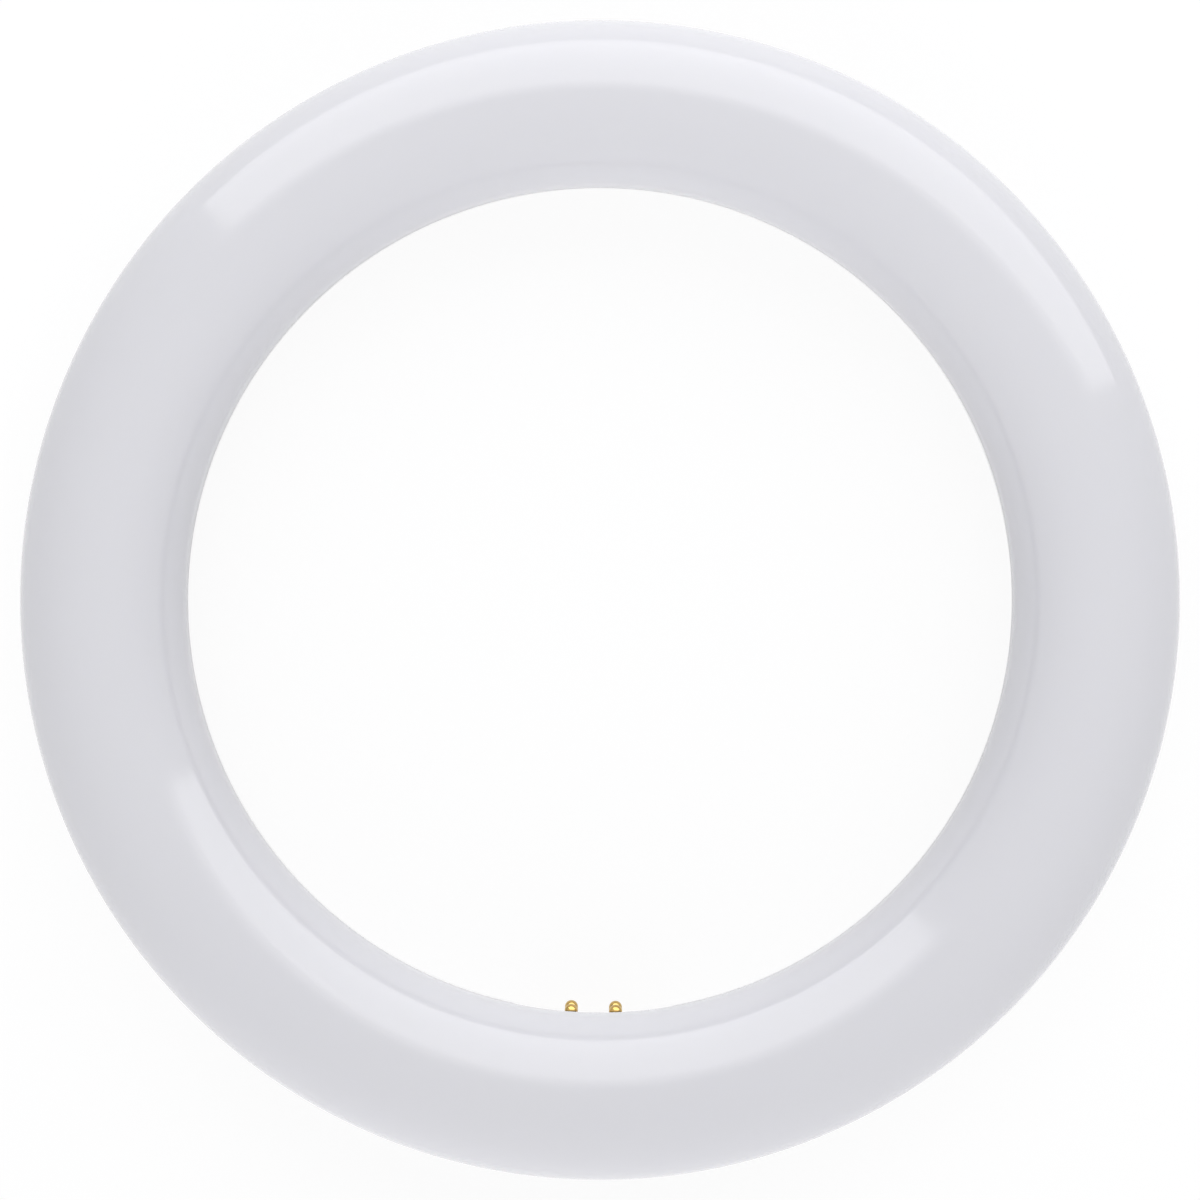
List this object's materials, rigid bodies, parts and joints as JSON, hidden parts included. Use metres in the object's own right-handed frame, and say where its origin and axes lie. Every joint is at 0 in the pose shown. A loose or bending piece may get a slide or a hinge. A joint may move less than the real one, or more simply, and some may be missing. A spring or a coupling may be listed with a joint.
{
  "type": "circular led tube",
  "caption": "Ring-shaped LED lamp with an opal light side, and contact pins in a recess of its back that point to the ring's centre.",
  "frame": {"origin": "centre of the ring, on the surface that the lamp lies on with its back", "axes": "+Z along the ring's axis, out of the light side; +Y along the contact pins, from their base to the ring's centre"},
  "size_m": [0.205, 0.205, 0.0295],
  "materials": {
    "diffuser": "opal gloss",
    "housing": "fine satin moulding",
    "base": "fine satin moulding",
    "brass": "bright turned",
    "board_metal": "white solder mask",
    "board_fibre": "green solder mask",
    "led": "phosphor",
    "screw": "zinc plated",
    "can": "shrink sleeve",
    "ferrite": "sintered",
    "bobbin": "moulded",
    "copper": "enamelled wire",
    "tape": "tape",
    "varistor_blue": "epoxy coat",
    "resistor": "lacquer",
    "film": "moulded box",
    "package": "moulded epoxy",
    "lead_white": "insulation",
    "lead_red": "insulation",
    "lead_black": "insulation"
  },
  "bodies": {
    "root": {"front_diffuser": "diffuser", "back_housing": "housing", "pin_base": "base", "contact_pin_1": "brass", "contact_pin_2": "brass", "contact_pin_3": "brass", "contact_pin_4": "brass", "led_board": "board_metal", "led_chips": "led", "led_board_screws": "screw", "driver_board": "board_fibre", "driver_screws": "screw", "fuse_resistor": "resistor", "varistor": "varistor_blue", "filter_capacitor": "film", "bridge_rectifier": "package", "choke_core": "ferrite", "choke_winding": "copper", "input_capacitor": "can", "driver_chip": "package", "transformer_core": "ferrite", "transformer_bobbin": "bobbin", "transformer_winding": "tape", "output_diode": "package", "output_capacitor": "can", "pin_lead_1": "lead_white", "pin_lead_2": "lead_white", "pin_lead_3": "lead_white", "pin_lead_4": "lead_white", "led_lead_positive": "lead_red", "led_lead_negative": "lead_black"}
  },
  "joints": []
}
